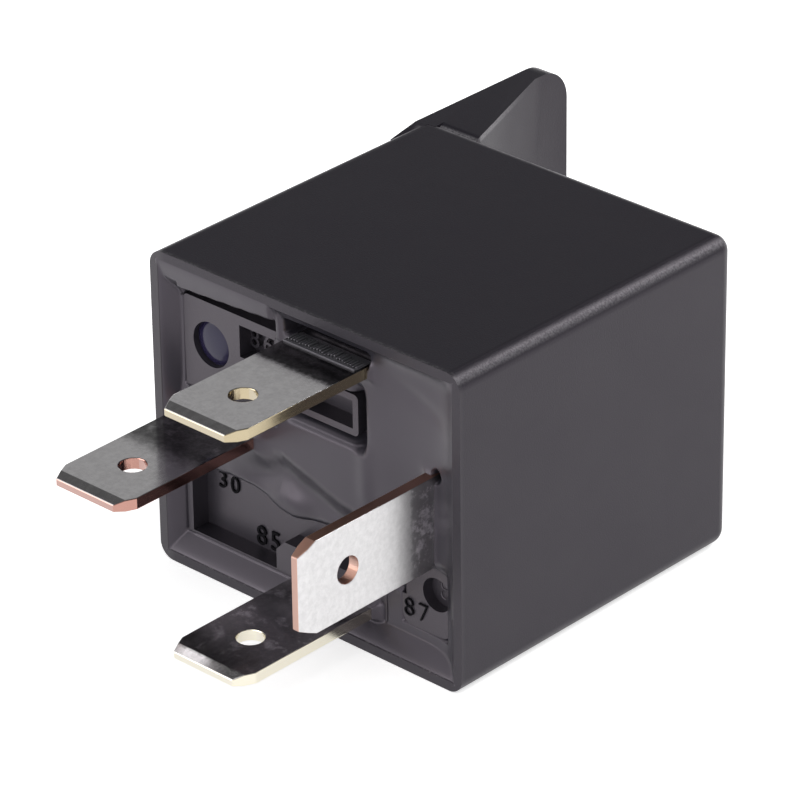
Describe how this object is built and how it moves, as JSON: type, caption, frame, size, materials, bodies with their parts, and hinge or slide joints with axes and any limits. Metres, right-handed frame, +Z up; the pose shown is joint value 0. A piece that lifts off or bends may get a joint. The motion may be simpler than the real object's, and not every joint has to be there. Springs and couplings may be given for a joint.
{
  "type": "automotive relay",
  "caption": "Cube-shaped plug-in switching relay with flat quick-connect blades, a potted terminal face and a screw bracket moulded on the cover.",
  "frame": {"origin": "centre of the side of the cover that the relay rests on", "axes": "+X along the terminal face, away from the bracket; +Y from the blades to the bracket; +Z up from the resting side"},
  "size_m": [0.026, 0.0487, 0.022],
  "materials": {
    "black_cover_plastic": "moulded, fine satin grain",
    "grey_base_plastic": "moulded, satin",
    "potting_sealant": "cured resin, glossy and uneven",
    "vent_film": "glossy, bluish violet",
    "tinned_copper": "tinned faces, copper edges",
    "tinned_brass": "tinned faces, brass edges",
    "plated_steel": "zinc plated",
    "rivet_steel": "bright",
    "bobbin_nylon": "natural nylon",
    "enamelled_copper": "enamelled wire",
    "solder": "bright solder",
    "spring_bronze": "rolled copper alloy",
    "contact_silver": "silver alloy"
  },
  "bodies": {
    "relay": {"cover": "black_cover_plastic", "base": "grey_base_plastic", "sealant": "potting_sealant", "vent_plug": "vent_film", "terminal_30": "tinned_copper", "terminal_87": "tinned_copper", "terminal_85": "tinned_brass", "terminal_86": "tinned_brass", "yoke": "plated_steel", "core": "plated_steel", "yoke_rivet": "rivet_steel", "spring_rivets": "rivet_steel", "bobbin": "bobbin_nylon", "winding": "enamelled_copper", "coil_leads": "enamelled_copper", "solder_joints": "solder", "fixed_contact": "contact_silver"},
    "armature": {"armature": "plated_steel", "contact_spring": "spring_bronze", "armature_rivets": "rivet_steel", "moving_contact": "contact_silver"}
  },
  "joints": [
    {"name": "armature_hinge", "type": "hinge", "parent": "relay", "child": "armature", "pos_m": [-0.0106, 0.00817, 0.011], "axis": [0, 0, -1], "range_deg": [0, 3.1], "stiffness_Nm_per_rad": 0.02, "springref_deg": -14.32, "deforming": ["contact_spring"]}
  ]
}
